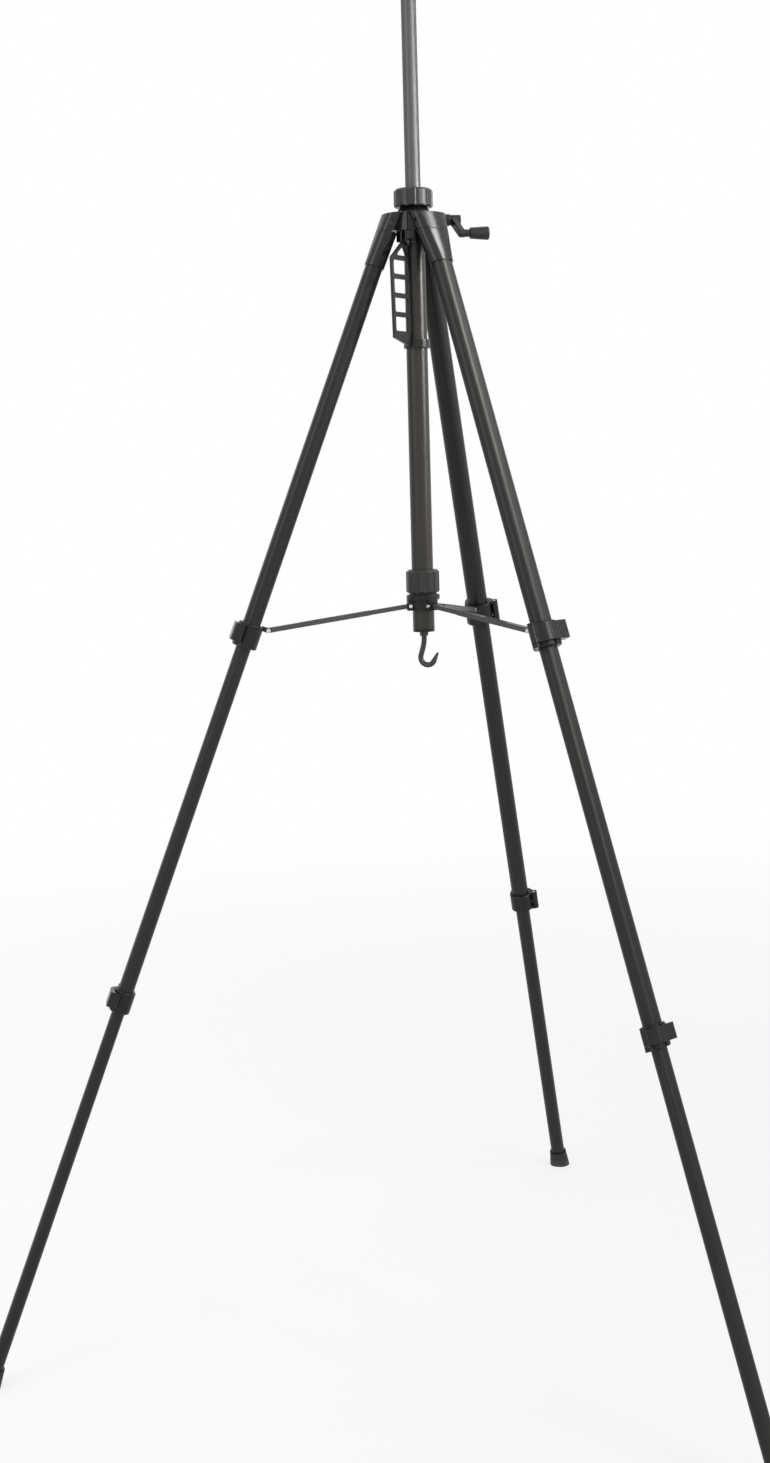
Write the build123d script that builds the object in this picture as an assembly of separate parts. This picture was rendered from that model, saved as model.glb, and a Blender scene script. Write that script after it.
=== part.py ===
"""A three-legged stand for a laser level.

A geared mast rises out of a column tube. Three legs with two flip-lock sections each
hang from a shoulder casting, and a hub that slides on the column braces them.
"""
from build123d import *
import math
import os

# Fits: gaps on each side between pieces that turn or slide, are seated, or only pass each other
RUN_GAP = 0.05
SEAT_GAP = 0.02
AIR_GAP = 0.4

# Stance: the leg pivots' height above the floor and distance from the mast's axis
PIVOT_H = 1379.0
PIVOT_R = 32.6
LEG_TILT = 20.2
REAR_AZIMUTH = 90.0
LEG_AZIMUTHS = {"a": REAR_AZIMUTH + 120, "b": REAR_AZIMUTH, "c": REAR_AZIMUTH + 240}
CRANK_AZIMUTH = 30.0
HANDLE_AZIMUTH = 259.0
HOOK_AZIMUTH = 0.0

# Leg tubes: obround sections, width across the leg and depth in the plane of its swing
UPPER_W = 28.0
UPPER_T = 22.0
MIDDLE_W = 24.0
MIDDLE_T = 18.6
LOWER_W = 19.8
LOWER_T = 15.5
TUBE_WALL = 1.2

# Places along a leg, measured down from its pivot
UPPER_CLAMP_L = 551.0
LOWER_CLAMP_L = 1010.0
TUBE_OVERLAP = 80.0

# Knuckle: the leg's top socket, wider at its pivot, with a lug in the shoulder's slot
KNUCKLE_W = 31.5
KNUCKLE_TOP_W = 49.5
KNUCKLE_T = 25.4
KNUCKLE_L = 60.0
KNUCKLE_CROWN_R = 60.0
SOCKET_L = 30.0
SEAM_DROP = 11.0
SEAM_GAP = 0.3
RELIEF_START = 3.0
RELIEF_ANGLE = 20.0
LUG_R = 7.0
LUG_T = 13.0
LUG_NECK = 12.0
PIVOT_BOLT_R = 3.0
BOLT_RECESS = 2.0

# Flip-lock clamps and their levers
UPPER_CLAMP_WALL = 4.5
LOWER_CLAMP_WALL = 3.2
UPPER_CLAMP_H = 30.0
LOWER_CLAMP_H = 25.5
CLAMP_LIP = 5.0
CLAMP_SLIT = 2.0
CLAMP_BEVEL = 1.2
HINGE_OUT = 4.9
HINGE_ANGLE = -75.0
HINGE_PIN_R = 1.5
LOW_EAR_H = 5.0
TOP_EAR_H = 2.4
EAR_R = 4.4
LEVER_GAP = 0.6
LEVER_BAND = 4.4
LEVER_BACK = 8.0
UPPER_LEVER_SIDE = 3.0
LOWER_LEVER_SIDE = 1.2
LEVER_OUT = 5.4
LEVER_LAP = 13.0
LEVER_ROUND = 3.0

# Braces: rivet on the leg, pin in the hub, forked outer half and plain inner half
RIVET_UP = 13.3
RIVET_IN = 22.2
RIVET_R = 1.5
RIVET_HEAD_R = 2.6
RIVET_HEAD_T = 1.0
BRACE_RISE = 22.4
TAB_W = 5.4
TAB_R = 3.0
FORK_WALL = 1.0
FORK_H = 6.0
FORK_SHORT = 52.0
FORK_WEB = 40.0
TONGUE_W = 5.0
TONGUE_H = 5.6
TONGUE_LAP = 46.0
TONGUE_EYE_R = 2.6

# Feet
FOOT_H = 24.0
FOOT_SOLE = 12.0
FOOT_WALL = 2.2
FOOT_SOLE_W = 29.0
FOOT_SOLE_T = 25.0

# Shoulder casting: rises and drops are measured from the leg pivots
CORE_R = 29.0
DOME_RISE = 14.5
DOME_EDGE_R = 43.0
DOME_DROP = 3.0
DOME_ROUND = 7.0
FLARE_R = 22.5
NECK_R = 17.8
NECK_RISE = 20.7
SPIGOT_R = 16.4
SPIGOT_L = 13.3
SKIRT_R = 17.0
SKIRT_DROP = 27.0
APRON_R = 26.5
APRON_ANGLE = 42.0
APRON_DROP = 22.0
RIB_W = 4.0
RIB_OUT = 1.5
RIB_AZIMUTH = 270.0
TUBE_TOP_DROP = 13.0

# Mast with its rack, guide and head
MAST_R = 10.0
MAST_WALL = 1.8
MAST_TRAVEL = 300.0
GUIDE_H = 16.0
GUIDE_STOP = 4.0
BUSH_R = 12.6
BUSH_L = 16.0
HEAD_R = 27.0
HEAD_T = 13.0
HEAD_SOCKET_R = 14.0
HEAD_SOCKET_L = 22.0
HEAD_STOP = 0.9
SEAT_RELIEF = 1.5
STUD_R = 7.94
STUD_L = 18.0
STUD_ROOT_R = 7.0
STUD_ROOT = 10.0

# Gear: module, and pressure angle in degrees
GEAR_MODULE = 1.0
GEAR_TEETH = 12
GEAR_ANGLE = 25.0
GEAR_W = 6.4
GEAR_BACKLASH = 0.15
RACK_W = 8.0
RACK_BASE = 2.4
RACK_END = 20.0
RACK_FOOT = 4.0

# Crank
SHAFT_RISE = 7.0
SHAFT_R = 3.0
SHAFT_TAIL = 8.0
BOSS_OUT = 49.5
CRANK_BOSS_R = 8.0
CRANK_HUB_R = 7.0
CRANK_HUB_L = 14.0
CRANK_REACH = 30.0
CRANK_DROP = 21.0
ARM_T = 6.5
ARM_R = 5.6
KNOB_NECK_R = 5.0
KNOB_NECK_L = 6.5
KNOB_R = 7.4
KNOB_FLARE_R = 9.0
KNOB_L = 24.5
KNOB_AXLE_R = 2.5
KNOB_AXLE_L = 26.0

# Fluted collar and nut
COLLAR_R = 25.3
COLLAR_H = 24.0
NUT_R = 21.2
NUT_H = 29.0
NUT_LIP = 8.0
FLUTES = 12
FLUTE_R = 2.6
FLUTE_DEPTH = 1.4
GRIP_CHAMFER = 1.6
GRIP_TOP = 3.0

# Column tube, plug and hook
COLUMN_R = 13.7
COLUMN_WALL = 1.8
COLUMN_END = 23.1
PLUG_FLANGE = 4.0
PLUG_L = 22.0
HOOK_R = 3.4
HOOK_BOSS_R = 5.4
HOOK_BOSS_L = 5.0
HOOK_DROP = 33.0
HOOK_BOWL_R = 9.4
HOOK_BOWL_SHIFT = 4.2
HOOK_START_ANGLE = 165.0
HOOK_END_ANGLE = 332.0
HOOK_TIP_L = 12.0
HOOK_TIP_R = 1.2

# Sliding hub
HUB_R = 21.2
HUB_CORE_R = 16.6
HUB_H = 19.6
HUB_FLANGE = 6.5
HUB_BEVEL = 1.0
HUB_EAR_W = 14.4
HUB_PIN_UP = 5.7
HUB_PIN_R = 1.5
PIN_HEAD_R = 2.3
PIN_HEAD_T = 1.0
HUB_PIN_RADIUS = 17.5
HUB_SPIGOT_R = 17.5
HUB_SPIGOT_L = 22.0
HUB_NECK = 2.6

# Carry handle
HANDLE_T = 3.6
HANDLE_IN = 14.5
HANDLE_OUT = 58.6
HANDLE_END = 55.0
HANDLE_L = 134.5
HANDLE_TOP = 22.5
HANDLE_SLANT = 10.0
HANDLE_INNER_RIM = 6.0
HANDLE_RIM = 4.2
HANDLE_RUNG = 6.2
HANDLE_CROWN = 18.9
HANDLE_FOOT = 18.8
HANDLE_WINDOWS = 4
HANDLE_CORNER = 2.5
HANDLE_PIN_R = 2.0
HANDLE_PIN_RADIUS = 22.4
HANDLE_PIN_DROP = 25.5
HANDLE_EYE_R = 4.8
HANDLE_EYE_WALL = 8.4
CHEEK_T = 2.5
CLIP_R = 16.8
CLIP_DROP = 1.5
CLIP_H = 11.0

# Heights above the floor; the instrument seat is a full travel above the collar's top
SEAM_H = PIVOT_H - SEAM_DROP
DOME_H = PIVOT_H + DOME_RISE
NECK_H = PIVOT_H + NECK_RISE
SPIGOT_H = NECK_H + SPIGOT_L
SKIRT_H = PIVOT_H - SKIRT_DROP
APRON_H = PIVOT_H - APRON_DROP
TUBE_TOP_H = PIVOT_H - TUBE_TOP_DROP
GUIDE_TOP_H = TUBE_TOP_H - GUIDE_STOP
SHAFT_H = PIVOT_H + SHAFT_RISE
COLLAR_TOP_H = NECK_H + AIR_GAP + COLLAR_H
SEAT_H = COLLAR_TOP_H + HEAD_STOP + MAST_TRAVEL + HEAD_SOCKET_L + HEAD_T
HANDLE_PIN_H = PIVOT_H - HANDLE_PIN_DROP
HANDLE_BOTTOM_H = HANDLE_PIN_H - HANDLE_L
CLIP_BOTTOM_H = HANDLE_BOTTOM_H - CLIP_DROP


def up(height):
    """Turn a height above the floor into a z of the frame, whose origin is the middle of the seat."""
    return height - SEAT_H


def prism(sketch, z_from, z_to):
    return extrude(Pos(0, 0, z_from) * sketch, z_to - z_from)


def rod(radius, z_from, z_to):
    return prism(Circle(radius), z_from, z_to)


def tube(outer_r, inner_r, z_from, z_to):
    return prism(Circle(outer_r) - Circle(inner_r), z_from, z_to)


def obround(width, depth):
    """Section with round ends: width along y, depth along x."""
    return SlotOverall(width, depth, rotation=90)


def polar(radius, angle):
    return radius * math.cos(math.radians(angle)), radius * math.sin(math.radians(angle))


def across(radius, length):
    """A round bar along y, which lies across the leg or brace that it belongs to."""
    return Rot(90, 0, 0) * Cylinder(radius, length)


# Leg frame: z runs up the leg, x outward, y across; drawn along +X and turned to its azimuth
LEG = Pos(PIVOT_R, 0, up(PIVOT_H)) * Rot(0, -LEG_TILT, 0)
TILT_SIN = math.sin(math.radians(LEG_TILT))
TILT_COS = math.cos(math.radians(LEG_TILT))
FLOOR_L = PIVOT_H / TILT_COS

# Brace geometry: the rivet on the leg, and the brace's length and slope at rest
RIVET_L = UPPER_CLAMP_L - RIVET_UP
RIVET_RADIUS = PIVOT_R + RIVET_L * TILT_SIN - RIVET_IN * TILT_COS
RIVET_H = PIVOT_H - RIVET_L * TILT_COS - RIVET_IN * TILT_SIN
BRACE_RUN = RIVET_RADIUS - HUB_PIN_RADIUS
BRACE_L = math.hypot(BRACE_RUN, BRACE_RISE)
BRACE_SLOPE = math.degrees(math.atan2(BRACE_RISE, BRACE_RUN))
BRACE = Pos(RIVET_RADIUS, 0, up(RIVET_H)) * Rot(0, BRACE_SLOPE, 0) * Rot(0, 0, 180)
FORK_INSIDE = TONGUE_W + 2 * AIR_GAP
FORK_OUTSIDE = FORK_INSIDE + 2 * FORK_WALL
HUB_PIN_H = RIVET_H + BRACE_RISE
HUB_BOTTOM_H = HUB_PIN_H - HUB_PIN_UP
COLUMN_BOTTOM_H = HUB_BOTTOM_H - COLUMN_END


def knuckle_section(width):
    """Section of the knuckle: round ends, flat towards the column and crowned on the outside."""
    flat_x = -KNUCKLE_T / 2
    reach = 2 * KNUCKLE_CROWN_R - KNUCKLE_T
    # The ends' radius, at which they touch the flat and the crown and give the width
    end_r = width / 2 - reach + math.sqrt(reach * (reach - width + KNUCKLE_T))
    end_x = flat_x + end_r
    end_y = width / 2 - end_r
    share = KNUCKLE_CROWN_R / (KNUCKLE_CROWN_R - end_r)
    center_x = KNUCKLE_T / 2 - KNUCKLE_CROWN_R
    touch_x = center_x + (end_x - center_x) * share
    touch_y = end_y * share
    sides = [Line((flat_x, -end_y), (flat_x, end_y)),
             ThreePointArc((touch_x, touch_y), (KNUCKLE_T / 2, 0), (touch_x, -touch_y))]
    for side in (-1, 1):
        sides.append(ThreePointArc((flat_x, side * end_y), (end_x, side * width / 2), (touch_x, side * touch_y)))
    return make_face(sides)


def knuckle_form(from_l, to_l):
    """Solid form of the knuckle, which spreads towards the pivot, between two places along the leg."""
    ends = []
    for place in (to_l, from_l):
        width = KNUCKLE_TOP_W + (KNUCKLE_W - KNUCKLE_TOP_W) * place / KNUCKLE_L
        ends.append((Pos(0, 0, -place) * knuckle_section(width)).face())
    return LEG * loft(ends)


def knuckle():
    body = knuckle_form(0, KNUCKLE_L)
    seam_z = up(SEAM_H) - SEAM_GAP
    span = 4 * KNUCKLE_W
    body -= Pos(PIVOT_R, 0, seam_z + span / 2) * Box(span, span, span)
    # The inner half of the top falls away, to clear the casting when the leg folds
    fall = Pos(PIVOT_R + RELIEF_START, 0, seam_z) * Rot(0, -RELIEF_ANGLE, 0)
    body -= fall * Pos(-span / 2, 0, span / 2) * Box(span, span, span)
    lug = across(LUG_R, LUG_T) + Pos(0, 0, -SOCKET_L / 2) * Box(LUG_NECK, LUG_T, SOCKET_L)
    body += LEG * lug
    body -= LEG * across(PIVOT_BOLT_R + RUN_GAP, 2 * LUG_T)
    socket = obround(UPPER_W + 2 * SEAT_GAP, UPPER_T + 2 * SEAT_GAP)
    return body - LEG * prism(socket, -KNUCKLE_L, -SOCKET_L)


def leg_tube(width, depth, from_l, to_l):
    wall = obround(width, depth) - obround(width - 2 * TUBE_WALL, depth - 2 * TUBE_WALL)
    return LEG * prism(wall, -to_l, -from_l)


def clamp_hinge(width, depth):
    """Centre of the round end that carries the lever, and the lever's axis, in the leg's x and y."""
    end_y = -(width - depth) / 2
    dx, dy = polar(depth / 2 + HINGE_OUT, HINGE_ANGLE)
    return end_y, dx, end_y + dy


def clamp(center_l, height, wall, tube_w, tube_t, inner_w, inner_t):
    """Moulded band round a tube's lower end, with two ears for the lever's pin and a slit."""
    width = tube_w + 2 * wall
    depth = tube_t + 2 * wall
    low = -center_l - height / 2
    high = -center_l + height / 2
    body = prism(obround(width, depth), low, high)
    body = chamfer(body.edges().filter_by(Plane.XY), CLAMP_BEVEL)
    end_y, hinge_x, hinge_y = clamp_hinge(width, depth)
    reach = wall + HINGE_OUT
    ear = Pos(0, end_y) * Rot(0, 0, HINGE_ANGLE) * Pos(depth / 2 + HINGE_OUT - reach / 2, 0)
    ear_sketch = ear * Rectangle(reach, 2 * EAR_R) + Pos(hinge_x, hinge_y) * Circle(EAR_R)
    body += prism(ear_sketch, low, low + LOW_EAR_H) + prism(ear_sketch, high - TOP_EAR_H, high)
    body -= Pos(hinge_x, hinge_y) * rod(HINGE_PIN_R + SEAT_GAP, low, high)
    body -= prism(obround(tube_w + 2 * SEAT_GAP, tube_t + 2 * SEAT_GAP), low + CLAMP_LIP, high)
    body -= prism(obround(inner_w + 2 * RUN_GAP, inner_t + 2 * RUN_GAP), low, high)
    # The slit lets the lever draw the ring tight
    return body - Pos(depth / 2, 0, -center_l) * Box(depth - inner_t, CLAMP_SLIT, height)


def upper_clamp():
    body = clamp(UPPER_CLAMP_L, UPPER_CLAMP_H, UPPER_CLAMP_WALL, UPPER_W, UPPER_T, MIDDLE_W, MIDDLE_T)
    ring_x = UPPER_T / 2 + UPPER_CLAMP_WALL / 2
    tab = Pos(-(ring_x + RIVET_IN) / 2, 0, -RIVET_L) * Box(RIVET_IN - ring_x, TAB_W, 2 * TAB_R)
    tab += Pos(-RIVET_IN, 0, -RIVET_L) * across(TAB_R, TAB_W)
    body += tab
    return LEG * (body - Pos(-RIVET_IN, 0, -RIVET_L) * across(RIVET_R + SEAT_GAP, 2 * TAB_W))


def lower_clamp():
    return LEG * clamp(LOWER_CLAMP_L, LOWER_CLAMP_H, LOWER_CLAMP_WALL, MIDDLE_W, MIDDLE_T, LOWER_W, LOWER_T)


def lever(center_l, height, wall, lever_side, tube_w, tube_t):
    """Squared flap round the outer half of the clamp, on a hinge that runs along the leg."""
    width = tube_w + 2 * wall
    depth = tube_t + 2 * wall
    end_y, hinge_x, hinge_y = clamp_hinge(width, depth)
    inner = 2 * LEVER_GAP
    ring = obround(width + inner, depth + inner)
    outer = inner + 2 * LEVER_BAND
    far = 2 * width
    edge_x, edge_y = polar(far, HINGE_ANGLE)
    sector = Polyline((0, end_y), (edge_x, end_y + edge_y), (far, end_y + edge_y), (far, 0), (0, 0),
                      close=True)
    band = obround(width + outer, depth + outer) & make_face(sector)
    out_x = depth / 2 + LEVER_OUT
    side_y = width / 2 + lever_side
    block = Pos(out_x - LEVER_LAP / 2, (side_y - LEVER_BACK) / 2) * Rectangle(LEVER_LAP, side_y + LEVER_BACK)
    block = fillet(block.vertices().group_by(Axis.X)[-1], LEVER_ROUND)
    flap = band + block - ring + Pos(hinge_x, hinge_y) * Circle(EAR_R)
    low = -center_l - height / 2 + LOW_EAR_H + AIR_GAP
    high = -center_l + height / 2 - TOP_EAR_H - AIR_GAP
    body = prism(flap, low, high)
    return LEG * (body - Pos(hinge_x, hinge_y) * rod(HINGE_PIN_R + RUN_GAP, low, high))


def lever_pin(center_l, height, wall, tube_w, tube_t):
    end_y, hinge_x, hinge_y = clamp_hinge(tube_w + 2 * wall, tube_t + 2 * wall)
    half = height / 2
    return LEG * Pos(hinge_x, hinge_y) * rod(HINGE_PIN_R, -center_l - half, -center_l + half)


def brace_rivet():
    bar = across(RIVET_R, FORK_OUTSIDE + 2 * AIR_GAP)
    for side in (-1, 1):
        head_y = side * (FORK_OUTSIDE / 2 + AIR_GAP / 2 + RIVET_HEAD_T / 2)
        bar += Pos(0, head_y, 0) * across(RIVET_HEAD_R, RIVET_HEAD_T)
    return LEG * Pos(-RIVET_IN, 0, -RIVET_L) * bar


def upper_pins():
    pin = lever_pin(UPPER_CLAMP_L, UPPER_CLAMP_H, UPPER_CLAMP_WALL, UPPER_W, UPPER_T)
    return Compound(children=[pin, brace_rivet()])


def foot():
    top = -(FLOOR_L - FOOT_H)
    bottom = -(FLOOR_L + FOOT_SOLE_T)
    spread = (FOOT_SOLE_T + FOOT_H) / FOOT_H
    top_w = LOWER_W + 2 * FOOT_WALL
    top_t = LOWER_T + 2 * FOOT_WALL
    end_w = top_w + (FOOT_SOLE_W - top_w) * spread
    end_t = top_t + (FOOT_SOLE_T - top_t) * spread
    body = loft([(Pos(0, 0, bottom) * obround(end_w, end_t)).face(),
                 (Pos(0, 0, top) * obround(top_w, top_t)).face()])
    body -= prism(obround(LOWER_W + 2 * SEAT_GAP, LOWER_T + 2 * SEAT_GAP), -(FLOOR_L - FOOT_SOLE), top)
    body = LEG * body
    reach = 2 * PIVOT_R + 2 * PIVOT_H * TILT_SIN / TILT_COS
    return body - Pos(0, 0, up(0) - FLOOR_L / 2) * Box(2 * reach, reach, FLOOR_L)


def brace_fork():
    """Outer half of a brace: two side walls on the rivet, joined by a web along the top near the leg."""
    length = BRACE_L - FORK_SHORT
    side = Pos(length / 2, 0, 0) * Box(length, FORK_WALL, FORK_H) + across(FORK_H / 2, FORK_WALL)
    side -= across(RIVET_R + RUN_GAP, 2 * FORK_WALL)
    offset = (FORK_OUTSIDE - FORK_WALL) / 2
    body = Pos(0, offset, 0) * side + Pos(0, -offset, 0) * side
    web_from = FORK_H
    web = Box(FORK_WEB - web_from, FORK_OUTSIDE, FORK_WALL)
    return BRACE * (body + Pos((FORK_WEB + web_from) / 2, 0, (FORK_H - FORK_WALL) / 2) * web)


def brace_tongue():
    """Inner half of a brace: a flat bar from the hub's pin into the fork."""
    start = BRACE_L - FORK_SHORT - TONGUE_LAP
    body = Pos((start + BRACE_L) / 2, 0, 0) * Box(BRACE_L - start, TONGUE_W, TONGUE_H)
    body += Pos(start, 0, 0) * across(TONGUE_H / 2, TONGUE_W)
    body += Pos(BRACE_L, 0, 0) * across(TONGUE_EYE_R, TONGUE_W)
    return BRACE * (body - Pos(BRACE_L, 0, 0) * across(HUB_PIN_R + RUN_GAP, 2 * TONGUE_W))


def leg_pivot_bolt():
    return Pos(PIVOT_R, 0, up(PIVOT_H)) * across(PIVOT_BOLT_R, KNUCKLE_TOP_W - 2 * BOLT_RECESS)


# Crank and gear: the shaft runs along u, the gear sits beside the mast along v
CRANK = Rot(0, 0, CRANK_AZIMUTH)
PITCH_R = GEAR_MODULE * GEAR_TEETH / 2
TIP_R = PITCH_R + GEAR_MODULE
ROOT_R = PITCH_R - 1.25 * GEAR_MODULE
RACK_PITCH_R = MAST_R - GEAR_MODULE
SHAFT_OFFSET = RACK_PITCH_R + PITCH_R
SHAFT = CRANK * Pos(0, SHAFT_OFFSET, up(SHAFT_H)) * Rot(0, 90, 0)
TOOTH_PITCH = math.pi * GEAR_MODULE
TOOTH_HALF = TOOTH_PITCH / 4 - GEAR_BACKLASH / 2


def pinion():
    """Spur gear with involute flanks, drawn as one outline round its axis."""
    base_r = PITCH_R * math.cos(math.radians(GEAR_ANGLE))
    roll = math.tan(math.radians(GEAR_ANGLE)) - math.radians(GEAR_ANGLE)
    half_at_base = TOOTH_HALF / PITCH_R + roll
    flank = []
    for step in range(5):
        radius = base_r + (TIP_R - base_r) * step / 4
        press = math.acos(base_r / radius)
        flank.append((radius, half_at_base - (math.tan(press) - press)))
    outline = []
    for tooth in range(GEAR_TEETH):
        middle = math.radians(360 * (tooth + 0.5) / GEAR_TEETH)
        rising = [(ROOT_R, -half_at_base)] + [(r, -a) for r, a in flank]
        falling = [(r, a) for r, a in reversed(flank)] + [(ROOT_R, half_at_base)]
        for radius, angle in rising + falling:
            outline.append((radius * math.cos(middle + angle), radius * math.sin(middle + angle)))
    gear = make_face(Polyline(*outline, close=True))
    # One tooth space faces the rack, on the mast's side of the shaft
    return Rot(0, 0, 90) * prism(gear, -GEAR_W / 2, GEAR_W / 2)


def drive_pinion():
    length = BOSS_OUT + AIR_GAP + CRANK_HUB_L
    return SHAFT * (pinion() + rod(SHAFT_R, -SHAFT_TAIL, length))


def crank_arm():
    """Hub on the shaft, and an arm that slants outward to the knob's axle."""
    start = BOSS_OUT + AIR_GAP
    end = start + CRANK_HUB_L
    hub = rod(CRANK_HUB_R, start, end)
    # In the shaft's frame x points down and -y toward the front
    swing = Rot(0, 0, math.degrees(math.atan2(-CRANK_REACH, CRANK_DROP)))
    throw = math.hypot(CRANK_REACH, CRANK_DROP)
    bar = swing * Pos(throw / 2, 0) * SlotCenterToCenter(throw, 2 * ARM_R)
    tip = throw + ARM_R
    slant = make_face(Polyline((-ARM_R, start), (tip, end - ARM_T), (tip, end), (-ARM_R, start + ARM_T),
                               close=True))
    arm = prism(bar, start, end) & swing * extrude(Plane.XZ * slant, ARM_R, both=True)
    body = hub + arm
    body -= rod(SHAFT_R + SEAT_GAP, start, end)
    axle = rod(KNOB_AXLE_R, end - ARM_T, end + AIR_GAP + KNOB_AXLE_L)
    return SHAFT * (body + Pos(CRANK_DROP, -CRANK_REACH) * axle)


def crank_knob():
    start = BOSS_OUT + 2 * AIR_GAP + CRANK_HUB_L
    neck_end = start + KNOB_NECK_L
    end = neck_end + KNOB_L
    shape = Polyline((0, start), (KNOB_NECK_R, start), (KNOB_NECK_R, neck_end), (KNOB_R, neck_end),
                     (KNOB_FLARE_R, end), (0, end), close=True)
    body = revolve(Plane.XZ * make_face(shape), Axis.Z)
    body = fillet(body.edges().group_by(Axis.Z)[-1], GRIP_CHAMFER)
    body -= rod(KNOB_AXLE_R + RUN_GAP, start, start + KNOB_AXLE_L)
    return SHAFT * Pos(CRANK_DROP, -CRANK_REACH) * body


def mast_length():
    return up(GUIDE_TOP_H - GUIDE_H), -HEAD_T


RACK_BOTTOM = up(GUIDE_TOP_H) + RACK_FOOT
RACK_TOP = up(SHAFT_H) + MAST_TRAVEL + RACK_END


def mast_tube():
    low, high = mast_length()
    body = tube(MAST_R, MAST_R - MAST_WALL, low, high)
    groove_floor = RACK_PITCH_R - 1.25 * GEAR_MODULE - RACK_BASE
    groove = Pos(0, groove_floor + MAST_R / 2, (RACK_BOTTOM + RACK_TOP) / 2)
    return body - CRANK * groove * Box(RACK_W + 2 * SEAT_GAP, MAST_R, RACK_TOP - RACK_BOTTOM)


def mast_rack():
    """Toothed strip let into the back of the mast; its teeth stay within the mast's round."""
    root_y = RACK_PITCH_R - 1.25 * GEAR_MODULE
    tip_y = RACK_PITCH_R + GEAR_MODULE
    lean = math.tan(math.radians(GEAR_ANGLE))
    outline = [(root_y - RACK_BASE, RACK_TOP), (root_y - RACK_BASE, RACK_BOTTOM), (root_y, RACK_BOTTOM)]
    first = math.ceil((RACK_BOTTOM - up(SHAFT_H)) / TOOTH_PITCH + 0.5)
    last = math.floor((RACK_TOP - up(SHAFT_H)) / TOOTH_PITCH - 0.5)
    for tooth in range(first, last + 1):
        middle = up(SHAFT_H) + tooth * TOOTH_PITCH
        root_half = TOOTH_HALF + (RACK_PITCH_R - root_y) * lean
        tip_half = TOOTH_HALF - (tip_y - RACK_PITCH_R) * lean
        outline += [(root_y, middle - root_half), (tip_y, middle - tip_half),
                    (tip_y, middle + tip_half), (root_y, middle + root_half)]
    outline.append((root_y, RACK_TOP))
    strip = extrude(Plane.YZ * make_face(Polyline(*outline, close=True)), RACK_W / 2, both=True)
    return CRANK * strip & rod(MAST_R, RACK_BOTTOM, RACK_TOP)


def mast_guide():
    low = up(GUIDE_TOP_H - GUIDE_H)
    guide_r = COLUMN_R - COLUMN_WALL - RUN_GAP
    ring = tube(guide_r, MAST_R + SEAT_GAP, low, up(GUIDE_TOP_H))
    return ring + tube(guide_r, MAST_R - MAST_WALL, low - MAST_WALL, low)


def mast_head():
    disc = rod(HEAD_R, -HEAD_T, 0)
    disc = chamfer(disc.edges(), GRIP_CHAMFER)
    socket = rod(HEAD_SOCKET_R, -HEAD_T - HEAD_SOCKET_L, -HEAD_T)
    body = disc + socket
    body -= rod(MAST_R + SEAT_GAP, -HEAD_T - HEAD_SOCKET_L, -HEAD_T)
    hole_r = STUD_ROOT_R + SEAT_GAP
    body -= rod(hole_r, -STUD_ROOT, 0)
    # The seat is relieved round the stud's first thread
    return body - Pos(0, 0, -SEAT_RELIEF / 2) * Cone(hole_r, hole_r + SEAT_RELIEF, SEAT_RELIEF)


def mount_stud():
    stud = rod(STUD_R, 0, STUD_L)
    stud = chamfer(stud.edges().group_by(Axis.Z)[-1], GRIP_CHAMFER)
    return stud + rod(STUD_ROOT_R, -STUD_ROOT, 0)


def column_bush():
    return tube(BUSH_R - SEAT_GAP, MAST_R + RUN_GAP, up(SPIGOT_H) - BUSH_L, up(SPIGOT_H))


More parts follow.
